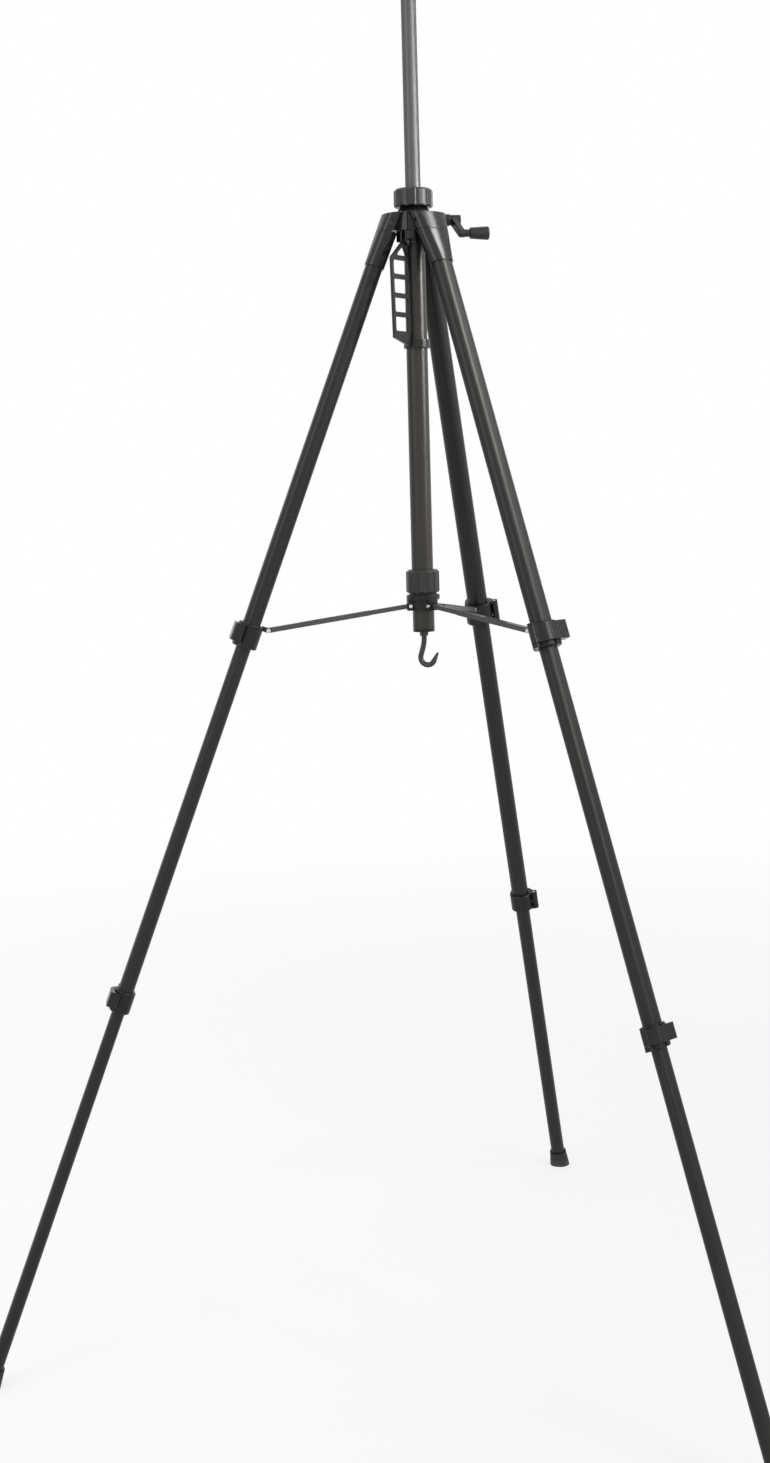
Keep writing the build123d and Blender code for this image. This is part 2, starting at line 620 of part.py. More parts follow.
def shoulder():
    """Bell over the three knuckles, with a neck, an apron between the legs, and the handle's cheeks."""
    seam = up(SEAM_H)
    dome = up(DOME_H)
    neck = up(NECK_H)
    profile = make_face(Polyline((0, seam), (DOME_EDGE_R + DOME_H - SEAM_H, seam),
                                 (DOME_EDGE_R, dome - DOME_DROP), (FLARE_R, dome), (NECK_R, neck),
                                 (0, neck), close=True))
    rounded = [v for v in profile.vertices() if abs(v.X - DOME_EDGE_R) < RUN_GAP]
    cap = revolve(Plane.XZ * fillet(rounded, DOME_ROUND), Axis.Z)
    bell = rod(CORE_R, seam, neck)
    for azimuth in LEG_AZIMUTHS.values():
        bell += Rot(0, 0, azimuth) * knuckle_form(-DOME_RISE - KNUCKLE_T, SEAM_DROP + KNUCKLE_T)
    rib = Pos((CORE_R + RIB_OUT) / 2, 0, (seam + dome) / 2) * Box(CORE_R + RIB_OUT, RIB_W, dome - seam)
    body = (bell + Rot(0, 0, RIB_AZIMUTH) * rib) & cap
    body += rod(SPIGOT_R, dome, up(SPIGOT_H)) + rod(SKIRT_R, up(SKIRT_H), seam + DOME_DROP)
    apron = rod(APRON_R, up(APRON_H), seam + DOME_DROP)
    side_x, side_y = polar(2 * APRON_R, APRON_ANGLE / 2)
    wedge = make_face(Polyline((0, 0), (side_x, -side_y), (side_x, side_y), close=True))
    apron &= prism(wedge, up(APRON_H), seam + DOME_DROP)
    for azimuth in LEG_AZIMUTHS.values():
        body += Rot(0, 0, azimuth + 180) * apron
    body += SHAFT * rod(CRANK_BOSS_R, 0, BOSS_OUT)
    # Cheeks on both sides of the handle's eye
    pin_z = up(HANDLE_PIN_H)
    root_x = SKIRT_R - DOME_DROP
    eye_x = HANDLE_PIN_RADIUS + HANDLE_EYE_R
    cheek = make_face(Polyline((root_x, pin_z - HANDLE_EYE_R), (HANDLE_PIN_RADIUS, pin_z - HANDLE_EYE_R),
                               (HANDLE_PIN_RADIUS, pin_z), (eye_x, pin_z), (eye_x, seam + DOME_DROP),
                               (root_x, seam + DOME_DROP), close=True))
    cheek = extrude(Plane.XZ * (cheek + Pos(HANDLE_PIN_RADIUS, pin_z) * Circle(HANDLE_EYE_R)),
                    CHEEK_T / 2, both=True)
    slot_half = HANDLE_T / 2 + AIR_GAP
    handle = Rot(0, 0, HANDLE_AZIMUTH)
    for side in (-1, 1):
        body += handle * Pos(0, side * (slot_half + CHEEK_T / 2), 0) * cheek
    # Slot for the handle to swing up in, and the hole of its pin
    slot_in = HANDLE_PIN_RADIUS - HANDLE_EYE_R - 2 * AIR_GAP
    slot_low = pin_z - 2 * HANDLE_EYE_R
    body -= handle * Pos((slot_in + 2 * APRON_R) / 2, 0, (slot_low + seam) / 2) * Box(
        2 * APRON_R - slot_in, 2 * slot_half, seam - slot_low)
    pin_hole = across(HANDLE_PIN_R + SEAT_GAP, 4 * (slot_half + CHEEK_T))
    body -= handle * Pos(HANDLE_PIN_RADIUS, 0, pin_z) * pin_hole
    # Bores of the column, mast and bush, the gear's pocket, the shaft's bore and the lug slots
    body -= rod(COLUMN_R + SEAT_GAP, up(SKIRT_H), up(TUBE_TOP_H))
    body -= rod(MAST_R + AIR_GAP, up(TUBE_TOP_H), up(SPIGOT_H))
    body -= rod(BUSH_R, up(SPIGOT_H) - BUSH_L, up(SPIGOT_H))
    body -= SHAFT * rod(TIP_R + AIR_GAP, -GEAR_W / 2 - AIR_GAP, GEAR_W / 2 + AIR_GAP)
    body -= SHAFT * rod(SHAFT_R + RUN_GAP, -SHAFT_TAIL - AIR_GAP, BOSS_OUT)
    slot_w = LUG_T + 2 * AIR_GAP
    slot_in = LUG_R + AIR_GAP
    slot_out = (LUG_NECK / 2 + SEAM_DROP * TILT_SIN) / TILT_COS + AIR_GAP
    slot = across(LUG_R + AIR_GAP, slot_w)
    slot += Pos((slot_out - slot_in) / 2, 0, -SEAM_DROP / 2) * Box(slot_in + slot_out, slot_w, SEAM_DROP)
    slot += across(PIVOT_BOLT_R + SEAT_GAP, KNUCKLE_TOP_W + 2 * AIR_GAP)
    for azimuth in LEG_AZIMUTHS.values():
        body -= Rot(0, 0, azimuth) * Pos(PIVOT_R, 0, up(PIVOT_H)) * slot
    return body


def fluted(radius, z_from, z_to):
    """Hand grip with narrow grooves, a broad bevel on top and a small one below."""
    body = rod(radius, z_from, z_to)
    body = chamfer(body.edges().group_by(Axis.Z)[-1], GRIP_TOP)
    body = chamfer(body.edges().group_by(Axis.Z)[0], GRIP_CHAMFER)
    for step in range(FLUTES):
        x, y = polar(radius + FLUTE_R - FLUTE_DEPTH, 360 * step / FLUTES)
        body -= Pos(x, y) * rod(FLUTE_R, z_from, z_to)
    return body


def lock_collar():
    low = up(NECK_H) + AIR_GAP
    high = low + COLLAR_H
    body = fluted(COLLAR_R, low, high)
    body -= rod(MAST_R + AIR_GAP, low, high)
    return body - rod(SPIGOT_R + RUN_GAP, low, up(SPIGOT_H) + AIR_GAP)


def outer_tube():
    return tube(COLUMN_R, COLUMN_R - COLUMN_WALL, up(COLUMN_BOTTOM_H), up(TUBE_TOP_H))


def tube_plug():
    low = up(COLUMN_BOTTOM_H)
    body = rod(COLUMN_R, low - PLUG_FLANGE, low) + rod(COLUMN_R - COLUMN_WALL - SEAT_GAP, low, low + PLUG_L)
    return body - rod(HOOK_R + RUN_GAP, low - PLUG_FLANGE, low + PLUG_L)


def hook():
    """Round bar that turns in the plug: a collar, a shank, and a bowl whose tip tapers outward."""
    plug_low = up(COLUMN_BOTTOM_H) - PLUG_FLANGE
    top = up(COLUMN_BOTTOM_H) + PLUG_L
    bowl_z = plug_low - HOOK_DROP
    shank_end = (0, plug_low - HOOK_BOSS_L - HOOK_R)
    start = polar(HOOK_BOWL_R, HOOK_START_ANGLE)
    start = (HOOK_BOWL_SHIFT + start[0], bowl_z + start[1])
    end = polar(HOOK_BOWL_R, HOOK_END_ANGLE)
    end = (HOOK_BOWL_SHIFT + end[0], bowl_z + end[1])
    tip_x, tip_z = polar(1, HOOK_END_ANGLE + 90)
    path = Line((0, top), shank_end)
    path += Spline(shank_end, start, tangents=((0, -1), polar(1, HOOK_START_ANGLE + 90)))
    bend = HOOK_END_ANGLE - HOOK_START_ANGLE
    path += CenterArc((HOOK_BOWL_SHIFT, bowl_z), HOOK_BOWL_R, HOOK_START_ANGLE, bend)
    bar = sweep(Pos(0, 0, top) * Circle(HOOK_R), Plane.XZ * path)
    tip = Plane(origin=(end[0], 0, end[1]), z_dir=(tip_x, 0, tip_z))
    bar += tip * Pos(0, 0, HOOK_TIP_L / 2) * Cone(HOOK_R, HOOK_TIP_R, HOOK_TIP_L)
    collar = rod(HOOK_BOSS_R, plug_low - AIR_GAP - HOOK_BOSS_L, plug_low - AIR_GAP)
    return Rot(0, 0, HOOK_AZIMUTH) * (bar + collar)


def hub_slider():
    """Flanged ring on the column, with a neck for the nut and a pair of ears for each brace."""
    low = up(HUB_BOTTOM_H)
    high = low + HUB_H
    body = rod(HUB_CORE_R, low, high) + rod(HUB_SPIGOT_R, high, high + HUB_SPIGOT_L)
    body += chamfer(rod(HUB_R, high - HUB_FLANGE, high).edges(), HUB_BEVEL)
    ears = Pos(HUB_R, 0, (low + high - HUB_BEVEL) / 2) * Box(2 * HUB_R, HUB_EAR_W, HUB_H - HUB_BEVEL)
    ears &= rod(HUB_R, low, high)
    for azimuth in LEG_AZIMUTHS.values():
        body += Rot(0, 0, azimuth) * ears
    body -= rod(COLUMN_R + RUN_GAP, low, high + HUB_SPIGOT_L)
    slot_w = TONGUE_W + 2 * AIR_GAP
    slot_top = up(HUB_PIN_H) + TONGUE_EYE_R + AIR_GAP
    slot_in = HUB_PIN_RADIUS - TONGUE_EYE_R - AIR_GAP
    slot = Pos((slot_in + HUB_R + slot_w) / 2, 0, (low + slot_top) / 2 - slot_w / 2) * Box(
        HUB_R + slot_w - slot_in, slot_w, slot_top - low + slot_w)
    hole = Pos(HUB_PIN_RADIUS, 0, up(HUB_PIN_H)) * across(HUB_PIN_R + SEAT_GAP, HUB_EAR_W)
    for azimuth in LEG_AZIMUTHS.values():
        body -= Rot(0, 0, azimuth) * (slot + hole)
    return body


def hub_pin():
    """Riveted pin through a pair of ears, with a flat head on both sides."""
    bar = across(HUB_PIN_R, HUB_EAR_W)
    for side in (-1, 1):
        bar += Pos(0, side * (HUB_EAR_W + PIN_HEAD_T) / 2, 0) * across(PIN_HEAD_R, PIN_HEAD_T)
    return Pos(HUB_PIN_RADIUS, 0, up(HUB_PIN_H)) * bar


def hub_nut():
    low = up(HUB_BOTTOM_H) + HUB_H + HUB_NECK
    high = low + NUT_H
    body = fluted(NUT_R, low, high)
    body -= rod(COLUMN_R + AIR_GAP, low, high)
    return body - rod(HUB_SPIGOT_R + RUN_GAP, low, high - NUT_LIP)


def carry_handle():
    """Flat ladder grip in a plane through the column, hinged at its top and slanted at its lower end."""
    eye = (HANDLE_PIN_RADIUS, up(HANDLE_PIN_H))
    lean_x, lean_y = polar(HANDLE_EYE_R, 45)
    top = eye[1] - HANDLE_TOP
    bottom = up(HANDLE_BOTTOM_H)
    heel = bottom + HANDLE_SLANT
    clip_top = up(CLIP_BOTTOM_H) + CLIP_H + 2 * AIR_GAP
    clip_r = CLIP_R + 2 * AIR_GAP
    skirt = up(SKIRT_H) - HANDLE_RUNG
    shape = make_face(Polyline((HANDLE_IN, skirt), (HANDLE_IN, clip_top), (clip_r, clip_top),
                               (clip_r, bottom), (HANDLE_END, heel), (HANDLE_OUT, top),
                               (eye[0] + lean_x, eye[1] + lean_y), (eye[0] - lean_x, eye[1] - lean_y),
                               close=True))
    shape += Pos(*eye) * Circle(HANDLE_EYE_R)
    taper = (HANDLE_OUT - HANDLE_END) / (top - heel)
    window_in = HANDLE_IN + HANDLE_INNER_RIM
    pitch = (HANDLE_L - HANDLE_FOOT - HANDLE_CROWN) / HANDLE_WINDOWS
    for row in range(HANDLE_WINDOWS):
        low = bottom + HANDLE_FOOT + row * pitch
        high = low + pitch - HANDLE_RUNG
        low_x = HANDLE_END + (low - heel) * taper - HANDLE_RIM
        high_x = HANDLE_END + (high - heel) * taper - HANDLE_RIM
        window = make_face(Polyline((window_in, low), (low_x, low), (high_x, high), (window_in, high),
                                    close=True))
        shape -= fillet(window.vertices(), HANDLE_CORNER)
    # Three-cornered window between the last rung, the slanted top edge and the eye
    low = eye[1] - HANDLE_CROWN
    slope = (eye[1] + lean_y - top) / (HANDLE_OUT - eye[0] - lean_x)
    rim_drop = HANDLE_RIM * math.hypot(1, slope)
    far_x = HANDLE_OUT - (low + rim_drop - top) / slope
    peak_x = eye[0] + HANDLE_EYE_WALL - lean_x / 4
    peak = low + (far_x - peak_x) * slope
    window = make_face(Polyline((window_in, low), (far_x, low), (peak_x, peak), close=True))
    shape -= fillet(window.vertices(), HANDLE_CORNER / 2)
    shape -= Pos(*eye) * Circle(HANDLE_PIN_R + RUN_GAP)
    body = extrude(Plane.XZ * shape, HANDLE_T / 2, both=True)
    return Rot(0, 0, HANDLE_AZIMUTH) * body


def handle_pin():
    length = HANDLE_T + 2 * AIR_GAP + 2 * CHEEK_T
    place = Rot(0, 0, HANDLE_AZIMUTH) * Pos(HANDLE_PIN_RADIUS, 0, up(HANDLE_PIN_H))
    return place * across(HANDLE_PIN_R, length)


def handle_clip():
    low = up(CLIP_BOTTOM_H)
    return tube(CLIP_R, COLUMN_R + SEAT_GAP, low, low + CLIP_H)


def ring_of(shape):
    """One copy of a piece at each leg."""
    return Compound(children=[Rot(0, 0, azimuth) * shape for azimuth in LEG_AZIMUTHS.values()])


central = {
    "shoulder": shoulder(),
    "leg_pivot_bolts": ring_of(leg_pivot_bolt()),
    "column_bush": column_bush(),
    "lock_collar": lock_collar(),
    "outer_tube": outer_tube(),
    "tube_plug": tube_plug(),
    "hook": hook(),
    "mast_tube": mast_tube(),
    "mast_rack": mast_rack(),
    "mast_guide": mast_guide(),
    "mast_head": mast_head(),
    "mount_stud": mount_stud(),
    "drive_pinion": drive_pinion(),
    "crank_arm": crank_arm(),
    "crank_knob": crank_knob(),
    "carry_handle": carry_handle(),
    "handle_pin": handle_pin(),
    "handle_clip": handle_clip(),
    "hub_slider": hub_slider(),
    "hub_pins": ring_of(hub_pin()),
    "hub_nut": hub_nut(),
}
leg = {
    "knuckle": knuckle(),
    "upper_tube": leg_tube(UPPER_W, UPPER_T, SOCKET_L, UPPER_CLAMP_L + UPPER_CLAMP_H / 2 - CLAMP_LIP),
    "upper_clamp": upper_clamp(),
    "upper_pins": upper_pins(),
    "upper_lever": lever(UPPER_CLAMP_L, UPPER_CLAMP_H, UPPER_CLAMP_WALL, UPPER_LEVER_SIDE, UPPER_W, UPPER_T),
    "middle_tube": leg_tube(MIDDLE_W, MIDDLE_T, UPPER_CLAMP_L - TUBE_OVERLAP,
                            LOWER_CLAMP_L + LOWER_CLAMP_H / 2 - CLAMP_LIP),
    "lower_clamp": lower_clamp(),
    "lower_pin": lever_pin(LOWER_CLAMP_L, LOWER_CLAMP_H, LOWER_CLAMP_WALL, MIDDLE_W, MIDDLE_T),
    "lower_lever": lever(LOWER_CLAMP_L, LOWER_CLAMP_H, LOWER_CLAMP_WALL, LOWER_LEVER_SIDE,
                         MIDDLE_W, MIDDLE_T),
    "lower_tube": leg_tube(LOWER_W, LOWER_T, LOWER_CLAMP_L - TUBE_OVERLAP, FLOOR_L - FOOT_SOLE),
    "foot": foot(),
    "brace_fork": brace_fork(),
    "brace_tongue": brace_tongue(),
}

os.makedirs("parts", exist_ok=True)
for name, shape in central.items():
    export_step(shape, f"parts/{name}.step")
for letter, azimuth in LEG_AZIMUTHS.items():
    for name, shape in leg.items():
        export_step(Rot(0, 0, azimuth) * shape, f"parts/{name}_{letter}.step")
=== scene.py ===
import math

import bmesh
import bpy
from mathutils import Matrix, Vector


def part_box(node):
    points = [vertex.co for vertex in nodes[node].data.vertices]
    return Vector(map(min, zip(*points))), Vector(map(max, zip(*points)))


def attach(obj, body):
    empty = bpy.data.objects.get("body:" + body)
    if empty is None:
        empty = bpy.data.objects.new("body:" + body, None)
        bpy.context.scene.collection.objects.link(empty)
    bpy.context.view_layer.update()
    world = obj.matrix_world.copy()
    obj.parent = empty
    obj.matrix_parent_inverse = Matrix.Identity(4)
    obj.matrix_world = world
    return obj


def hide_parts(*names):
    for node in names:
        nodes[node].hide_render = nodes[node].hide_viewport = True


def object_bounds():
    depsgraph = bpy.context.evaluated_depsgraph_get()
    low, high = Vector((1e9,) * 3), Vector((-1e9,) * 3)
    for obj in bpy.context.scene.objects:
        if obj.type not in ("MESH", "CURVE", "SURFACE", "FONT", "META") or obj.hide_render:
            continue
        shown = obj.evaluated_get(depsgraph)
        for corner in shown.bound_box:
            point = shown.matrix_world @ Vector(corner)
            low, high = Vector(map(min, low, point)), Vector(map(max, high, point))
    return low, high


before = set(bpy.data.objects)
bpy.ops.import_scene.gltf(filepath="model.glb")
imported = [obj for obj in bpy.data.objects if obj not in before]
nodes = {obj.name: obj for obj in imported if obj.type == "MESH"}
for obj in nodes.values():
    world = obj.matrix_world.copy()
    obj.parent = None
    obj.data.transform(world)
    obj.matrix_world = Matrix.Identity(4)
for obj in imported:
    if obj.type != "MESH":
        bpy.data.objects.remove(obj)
cad_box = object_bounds()


# Shoulder: one black nylon moulding with a semi-gloss skin. Its neck holds the mast's bush, its
# three lobes are slotted for the legs, and two cheeks on its apron carry the handle.
class Value:
    """An output of a node; arithmetic on it adds Math nodes."""

    def __init__(self, tree, socket):
        self.tree = tree
        self.socket = socket

    def math(self, operation, other):
        node = self.tree.nodes.new("ShaderNodeMath")
        node.operation = operation
        plug(self.tree, node.inputs[0], self)
        plug(self.tree, node.inputs[1], other)
        return Value(self.tree, node.outputs[0])

    def __add__(self, other):
        return self.math("ADD", other)

    def __mul__(self, other):
        return self.math("MULTIPLY", other)

    __radd__ = __add__
    __rmul__ = __mul__


def plug(tree, slot, value):
    """Link a value to a socket, or set the socket to a plain number or colour."""
    if isinstance(value, Value):
        tree.links.new(value.socket, slot)
    else:
        slot.default_value = value


def shaded(shade, factor):
    return tuple(channel * factor for channel in shade)


class Nodes:
    """The nodes of a surface or of the surround."""

    def __init__(self, tree):
        self.tree = tree

    def node(self, kind, sockets=None, out=0, stops=None, **settings):
        node = self.tree.nodes.new("ShaderNode" + kind)
        for key, value in settings.items():
            setattr(node, key, value)
        if stops:
            for element, (position, level) in zip(node.color_ramp.elements, stops):
                element.position = position
                element.color = (level, level, level, 1)
        for key, value in (sockets or {}).items():
            plug(self.tree, node.inputs[key], value)
        return Value(self.tree, node.outputs[out])


class Finish(Nodes):
    """A surface: a material whose shader sockets are set by name."""

    def __init__(self, name):
        self.material = bpy.data.materials.new(name)
        self.material.use_nodes = True
        super().__init__(self.material.node_tree)
        self.shader = self.tree.nodes["Principled BSDF"]
        self.place = self.node("TexCoord", out="Object")

    def noise(self, scale, detail=3.0, place=None):
        return self.node("TexNoise", {"Vector": place or self.place, "Scale": scale, "Detail": detail})

    def patches(self, level, low, high):
        """Mask that is 0 below a low level and 1 above a high one."""
        return self.node("ValToRGB", {"Fac": level}, stops=[(low, 0.0), (high, 1.0)])

    def blend(self, mask, first, second):
        """Colour that goes from the first to the second as the mask rises."""
        first = first if isinstance(first, Value) else (*first, 1)
        return self.node("Mix", {0: mask, 6: first, 7: (*second, 1)}, out=2, data_type="RGBA")

    def mottled(self, mask, shade, low, high):
        """Shade that drifts with the mask between a darker and a lighter share of itself."""
        return self.blend(mask, shaded(shade, low), shaded(shade, high))

    def around(self, middle, *swings):
        """Number that swings round a middle value, by an amount for each mask."""
        total = middle - sum(amount for mask, amount in swings) / 2
        for mask, amount in swings:
            total = mask * amount + total
        return total

    def skin(self, relief, strength, depth, ease=None):
        """Normal with a fine relief on it; edges are rounded by the easing radius."""
        sockets = {"Height": relief, "Strength": strength, "Distance": depth}
        if ease:
            sockets["Normal"] = self.node("Bevel", {"Radius": ease}, samples=6)
        return self.node("Bump", sockets)

    def set(self, **sockets):
        for key, value in sockets.items():
            plug(self.tree, self.shader.inputs[key.replace("_", " ")], value)

    def wear(self, *names):
        for name in names:
            nodes[name].data.materials.clear()
            nodes[name].data.materials.append(self.material)


MOULD_DRIFT = 26.0
MOULD_GRAIN = 1300.0
RUB_STREAKS = 420.0
RUB_TURN = (0.5, 0.9, 0.3)
RUB_STRETCH = (1, 1, 0.06)


def moulded(name, shade, rough, ease, gloss=0.34):
    """Black moulding: slow drifts of tone and gloss, rubbed streaks, a fine grain and eased edges."""
    finish = Finish(name)
    drift = finish.noise(MOULD_DRIFT)
    slanted = finish.node("Mapping", {"Vector": finish.place, "Rotation": RUB_TURN, "Scale": RUB_STRETCH})
    rub = finish.patches(finish.noise(RUB_STREAKS, 2.0, slanted), 0.6, 0.72)
    handled = rub * drift
    tone = finish.mottled(drift, shade, 0.8, 1.2)
    grain = finish.noise(MOULD_GRAIN, 2.0)
    finish.set(Base_Color=finish.blend(handled * 0.3, tone, shaded(shade, 2.4)),
               Roughness=finish.around(rough, (drift, 0.1)) + handled * 0.12,
               Normal=finish.skin(grain, strength=0.04, depth=0.0003, ease=ease),
               Specular_IOR_Level=gloss)
    return finish


CASTING = (0.0100, 0.0088, 0.0075)
moulded("casting", CASTING, rough=0.25, ease=0.0012).wear("shoulder")

# Knuckles and pivot bolts: each leg's top socket, moulded like the shoulder with slightly crisper
# edges. It hangs on a blackened bolt whose ends are sunk in the shoulder's lobe.
LEGS = {"a": 210.0, "b": 90.0, "c": 330.0}


def each_leg(*names):
    return [f"{name}_{letter}" for letter in LEGS for name in names]


moulded("knuckle_moulding", CASTING, rough=0.25, ease=0.001).wear(*each_leg("knuckle"))

PLATE_CLOUD = 140.0
PLATE_SPECKS = 2200.0
PLATE_EASE = 0.0003


def plated(name, shade, rough):
    """Plated steel: cloudy tone, tumbled specks in the plating, and softened edges."""
    finish = Finish(name)
    cloud = finish.noise(PLATE_CLOUD, 4.0)
    specks = finish.node("TexVoronoi", {"Vector": finish.place, "Scale": PLATE_SPECKS})
    finish.set(Base_Color=finish.mottled(cloud, shade, 0.78, 1.12), Metallic=1.0,
               Roughness=finish.around(rough, (cloud, 0.16), (specks, 0.04)),
               Normal=finish.skin(specks, strength=0.06, depth=0.0002, ease=PLATE_EASE))
    return finish


BLACKENED = (0.05, 0.05, 0.052)
plated("blackened_steel", BLACKENED, rough=0.42).wear("leg_pivot_bolts")

# Leg tubes: drawn aluminium of oval section in three sizes, black anodised to a satin sheen. Fine
# draw lines run along each tube, and the two inner sizes carry faint rub marks from the clamps.
DRAW_LINES = 1500.0
DRAW_STRETCH = (1, 1, 70)
DRAW_CLOUD = 11.0
CLAMP_MARKS = 300.0


def drawn(name, shade, rough, axis_turn=(0.0, 0.0, 0.0), rubbed=0.0):
    """Anodised tube: lines stretched along the tube's axis, with slow clouds and optional rub marks."""
    finish = Finish(name)
    along = finish.node("Mapping", {"Vector": finish.place, "Rotation": axis_turn, "Scale": DRAW_STRETCH},
                        vector_type="TEXTURE")
    lines = finish.noise(DRAW_LINES, 3.0, along)
    cloud = finish.noise(DRAW_CLOUD)
    tone = finish.mottled(lines, shade, 0.82, 1.18)
    marks = finish.patches(finish.noise(CLAMP_MARKS, 2.0, along), 0.62, 0.75)
    finish.set(Base_Color=finish.blend(marks * cloud * rubbed, tone, shaded(shade, 3.0)), Metallic=0.45,
               Roughness=finish.around(rough, (lines, 0.1), (cloud, 0.08)),
               Normal=finish.skin(lines, strength=0.05, depth=0.0002), Specular_IOR_Level=0.4)
    return finish


LEG_TILT = math.radians(20.2)
LEG_BLACK = (0.0175, 0.016, 0.0142)
for letter, azimuth in LEGS.items():
    tilted = (0.0, -LEG_TILT, math.radians(azimuth))
    drawn(f"leg_tube_{letter}", LEG_BLACK, rough=0.38, axis_turn=tilted).wear(f"upper_tube_{letter}")
    inner = drawn(f"inner_tube_{letter}", shaded(LEG_BLACK, 1.1), rough=0.4, axis_turn=tilted, rubbed=0.6)
    inner.wear(f"middle_tube_{letter}", f"lower_tube_{letter}")

# Leg clamps: a black moulded band at the lower end of each tube, closed by a squared flip lever on a
# plated hinge pin. The upper clamp's inner side carries the brace's plated rivet.
CLAMP_BLACK = (0.0075, 0.0066, 0.0056)
moulding = moulded("moulding", CLAMP_BLACK, rough=0.34, ease=0.0008, gloss=0.28)
moulding.wear(*each_leg("upper_clamp", "lower_clamp"))
lever_moulding = moulded("lever_moulding", CLAMP_BLACK, rough=0.26, ease=0.0012)
lever_moulding.wear(*each_leg("upper_lever", "lower_lever"))

ZINC = (0.66, 0.66, 0.65)
zinc = plated("zinc_plate", ZINC, rough=0.34)
zinc.wear(*each_leg("upper_pins", "lower_pin"))

# Feet: charcoal rubber caps pressed over the lowest tubes, flared and cut flat to the floor, with a
# dull skin and pale dust where they touch it.
FLOOR_Z = cad_box[0][2]
DUST_H = 0.012
DUST = (0.16, 0.15, 0.135)
RUBBER = (0.0135, 0.013, 0.012)
rubber = Finish("foot_rubber")
crumb = rubber.noise(900.0, 4.0)
height = rubber.node("SeparateXYZ", {0: rubber.place}, out="Z")
low = rubber.node("MapRange", {"Value": height, "From Min": FLOOR_Z + DUST_H, "From Max": FLOOR_Z})
dusty = low * rubber.noise(160.0, 4.0) * 0.5
rubber.set(Base_Color=rubber.blend(dusty, RUBBER, DUST), Roughness=rubber.around(0.72, (crumb, 0.12)),
           Normal=rubber.skin(crumb, strength=0.25, depth=0.0003, ease=0.0012))
rubber.wear(*each_leg("foot"))

# Braces: a flat bar from each upper clamp to the hub, painted dark grey in one thin, slightly uneven
# coat that rounds its edges, so they catch the light.
PAINT_PEEL = 700.0
PAINT_CLOUD = 45.0


def painted(name, shade, rough, ease):
    """Painted metal: a fine orange peel, a cloudy tone and edges rounded by the coat."""
    finish = Finish(name)
    peel = finish.noise(PAINT_PEEL, 2.0)
    cloud = finish.noise(PAINT_CLOUD)
    finish.set(Base_Color=finish.mottled(cloud, shade, 0.75, 1.25),
               Roughness=finish.around(rough, (cloud, 0.14)),
               Normal=finish.skin(peel, strength=0.08, depth=0.0003, ease=ease))
    return finish


BRACE_GREY = (0.045, 0.044, 0.043)
brace_metal = painted("brace_metal", BRACE_GREY, rough=0.36, ease=0.0007)
brace_metal.wear(*each_leg("brace_fork", "brace_tongue"))

# Hub and lock nut: the braces' hub slides on the column and carries three plated pins; the grooved
# nut on its neck grips the column. The hub is moulded like the clamps, the nut of a greyer plastic.
GRIP_BLACK = (0.021, 0.0195, 0.0172)
moulding.wear("hub_slider")
zinc.wear("hub_pins")
grip = moulded("grip_moulding", GRIP_BLACK, rough=0.3, ease=0.0009, gloss=0.4)
grip.wear("hub_nut")

# Column: a round drawn tube, black anodised, pushed into the shoulder's skirt. A moulded plug closes
# its lower end and holds the swivelling hook of black painted wire.
HOOK_BLACK = (0.02, 0.02, 0.02)
drawn("column_tube", shaded(LEG_BLACK, 2.1), rough=0.36).wear("outer_tube")
moulding.wear("tube_plug")
painted("hook_steel", HOOK_BLACK, rough=0.34, ease=0.0006).wear("hook")

# Mast: a round tube anodised a satin mid grey, with a steel rack let into its back. It slides in two
# pale nylon bushes, one in the shoulder's neck and one on its own lower end.
MAST_GREY = (0.084, 0.083, 0.081)
RACK_STEEL = (0.19, 0.19, 0.19)
NYLON = (0.52, 0.51, 0.47)
drawn("mast_tube", MAST_GREY, rough=0.4, rubbed=0.25).wear("mast_tube")
plated("rack_steel", RACK_STEEL, rough=0.45).wear("mast_rack")
nylon = Finish("bush_nylon")
haze = nylon.noise(60.0)
nylon.set(Base_Color=nylon.mottled(haze, NYLON, 0.9, 1.0), Roughness=nylon.around(0.455, (haze, 0.15)))
nylon.wear("column_bush", "mast_guide")

# Head and stud: a moulded disc pressed on the mast, with a threaded steel stud of 5/8 inch, 11 threads
# to the inch, in its middle. The stud's thread runs from the seat to a bevelled tip.
moulding.wear("mast_head")

THREAD_R = 0.0079
THREAD_ROOT_R = 0.0068
THREAD_PITCH = 0.00231
THREAD_STEPS = 48
THREAD_FORM = ((0.0, THREAD_ROOT_R), (0.12, THREAD_ROOT_R), (0.5, THREAD_R), (0.62, THREAD_R))
TIP_BEVEL = 0.0011
WELD = 0.00002
stud_lo, stud_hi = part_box("mount_stud")
build = bmesh.new()
ridge = []
for turn_count in range(math.ceil((stud_hi[2] - stud_lo[2]) / THREAD_PITCH) + 2):
    base = stud_lo[2] + (turn_count - 1) * THREAD_PITCH
    for share, radius in THREAD_FORM:
        ridge.append(build.verts.new((radius, 0, base + share * THREAD_PITCH)))
side = [build.edges.new(pair) for pair in zip(ridge, ridge[1:])]
bmesh.ops.spin(build, geom=ridge + side, axis=(0, 0, 1), cent=(0, 0, 0), angle=2 * math.pi,
               dvec=(0, 0, THREAD_PITCH / THREAD_STEPS), steps=THREAD_STEPS, use_merge=False)
bmesh.ops.remove_doubles(build, verts=build.verts, dist=WELD)
